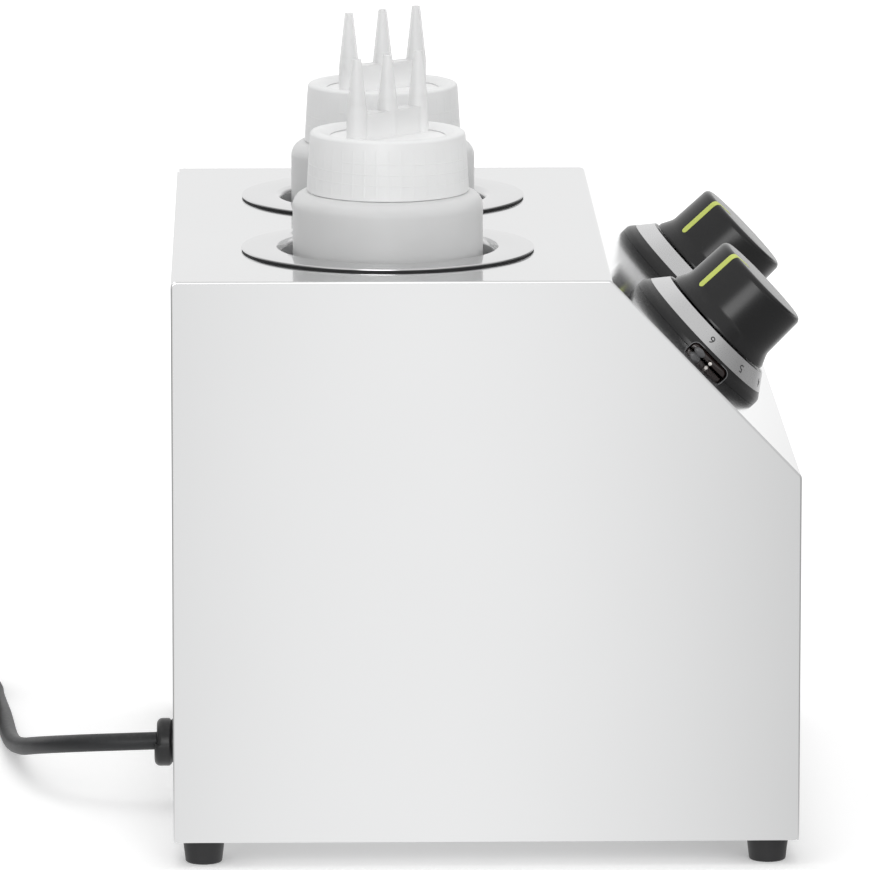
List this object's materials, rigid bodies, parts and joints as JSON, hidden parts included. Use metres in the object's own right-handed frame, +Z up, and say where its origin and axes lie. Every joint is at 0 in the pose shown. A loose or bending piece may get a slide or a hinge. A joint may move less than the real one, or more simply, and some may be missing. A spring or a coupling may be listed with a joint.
{
  "type": "hot topping warmer",
  "caption": "Countertop warmer with a sloped stainless case, dial thermostats, heated wells and lift-out squeeze bottles with three-spout nozzles.",
  "frame": {"origin": "centre of the case's footprint, on the surface that the feet stand on", "axes": "+Z up, -Y towards the front with the knobs, +X across the bottles to the user's right"},
  "size_m": [0.3765, 0.4285, 0.3162],
  "materials": {
    "sheet_steel": "satin",
    "screw_steel": "satin",
    "well_steel": "polished",
    "seal_rubber": "matte",
    "heater_sheath": "satin",
    "strap_steel": "satin",
    "insulation_wool": "matte",
    "copper_tube": "satin",
    "phenolic_black": "matte",
    "thermostat_case": "matte",
    "plated_shaft": "satin",
    "bezel_plastic": "gloss",
    "scale_metal": "satin",
    "lens_plastic": "gloss",
    "lamp_glass": "gloss",
    "knob_plastic": "gloss",
    "pointer_plastic": "satin",
    "bottle_plastic": "translucent",
    "nozzle_plastic": "translucent",
    "collar_plastic": "satin",
    "foot_rubber": "matte",
    "gland_plastic": "matte",
    "cord_sheath": "satin",
    "terminal_plastic": "matte",
    "brass_screw": "polished",
    "wire_sleeve": "satin",
    "tie_fabric": "matte",
    "plug_plastic": "satin",
    "pin_brass": "polished"
  },
  "bodies": {
    "case": {"side_panel_left": "sheet_steel", "side_panel_right": "sheet_steel", "top_front_panel": "sheet_steel", "back_panel": "sheet_steel", "base_plate": "sheet_steel", "back_screws": "screw_steel", "base_screws": "screw_steel", "well_left": "well_steel", "well_right": "well_steel", "well_seal_left": "seal_rubber", "well_seal_right": "seal_rubber", "band_heater_left": "heater_sheath", "band_heater_right": "heater_sheath", "heater_clamp_left": "strap_steel", "heater_clamp_right": "strap_steel", "insulation_left": "insulation_wool", "insulation_right": "insulation_wool", "sensing_bulb_left": "copper_tube", "sensing_bulb_right": "copper_tube", "bulb_clip_left": "strap_steel", "bulb_clip_right": "strap_steel", "safety_cutout_left": "phenolic_black", "safety_cutout_right": "phenolic_black", "thermostat_left": "thermostat_case", "thermostat_right": "thermostat_case", "thermostat_screws": "screw_steel", "bezel_left": "bezel_plastic", "bezel_right": "bezel_plastic", "scale_ring_left": "scale_metal", "scale_ring_right": "scale_metal", "pilot_lens_left": "lens_plastic", "pilot_lens_right": "lens_plastic", "pilot_lamp_left": "lamp_glass", "pilot_lamp_right": "lamp_glass", "feet": "foot_rubber", "foot_fasteners": "screw_steel", "strain_relief": "gland_plastic", "inner_lead": "cord_sheath", "terminal_block": "terminal_plastic", "terminal_screws": "brass_screw", "earth_stud": "brass_screw", "wiring": "wire_sleeve", "mains_cord": "cord_sheath", "cord_coil": "cord_sheath", "cord_tie": "tie_fabric", "plug_lead": "cord_sheath", "plug": "plug_plastic", "plug_pins": "pin_brass"},
    "knob_unit_left": {"knob_left": "knob_plastic", "knob_pointer_left": "pointer_plastic", "thermostat_shaft_left": "plated_shaft"},
    "squeeze_bottle_left": {"bottle_left": "bottle_plastic"},
    "nozzle_unit_left": {"nozzle_left": "nozzle_plastic"},
    "screw_collar_left": {"collar_left": "collar_plastic"},
    "knob_unit_right": {"knob_right": "knob_plastic", "knob_pointer_right": "pointer_plastic", "thermostat_shaft_right": "plated_shaft"},
    "squeeze_bottle_right": {"bottle_right": "bottle_plastic"},
    "nozzle_unit_right": {"nozzle_right": "nozzle_plastic"},
    "screw_collar_right": {"collar_right": "collar_plastic"}
  },
  "joints": [
    {"name": "knob_turn_left", "type": "hinge", "parent": "case", "child": "knob_unit_left", "pos_m": [-0.069, -0.08685, 0.19765], "axis": [0, -0.7207, 0.6933], "range_deg": [-307, 0]},
    {"name": "bottle_lift_left", "type": "slide", "parent": "case", "child": "squeeze_bottle_left", "axis": [0, 0, 1], "range_m": [0, 0.175]},
    {"name": "nozzle_lift_left", "type": "slide", "parent": "squeeze_bottle_left", "child": "nozzle_unit_left", "axis": [0, 0, 1], "range_m": [0, 0.0075]},
    {"name": "collar_turn_left", "type": "hinge", "parent": "nozzle_unit_left", "child": "screw_collar_left", "pos_m": [-0.069, 0.038, 0.27], "axis": [0, 0, 1], "range_deg": [0, 540]},
    {"name": "knob_turn_right", "type": "hinge", "parent": "case", "child": "knob_unit_right", "pos_m": [0.069, -0.08685, 0.19765], "axis": [0, -0.7207, 0.6933], "range_deg": [-307, 0]},
    {"name": "bottle_lift_right", "type": "slide", "parent": "case", "child": "squeeze_bottle_right", "axis": [0, 0, 1], "range_m": [0, 0.175]},
    {"name": "nozzle_lift_right", "type": "slide", "parent": "squeeze_bottle_right", "child": "nozzle_unit_right", "axis": [0, 0, 1], "range_m": [0, 0.0075]},
    {"name": "collar_turn_right", "type": "hinge", "parent": "nozzle_unit_right", "child": "screw_collar_right", "pos_m": [0.069, 0.038, 0.27], "axis": [0, 0, 1], "range_deg": [0, 540]}
  ],
  "couplings": [
    {"joint": "nozzle_lift_left", "follows": "collar_turn_left", "m_per_rad": 0.00079577},
    {"joint": "nozzle_lift_right", "follows": "collar_turn_right", "m_per_rad": 0.00079577}
  ]
}
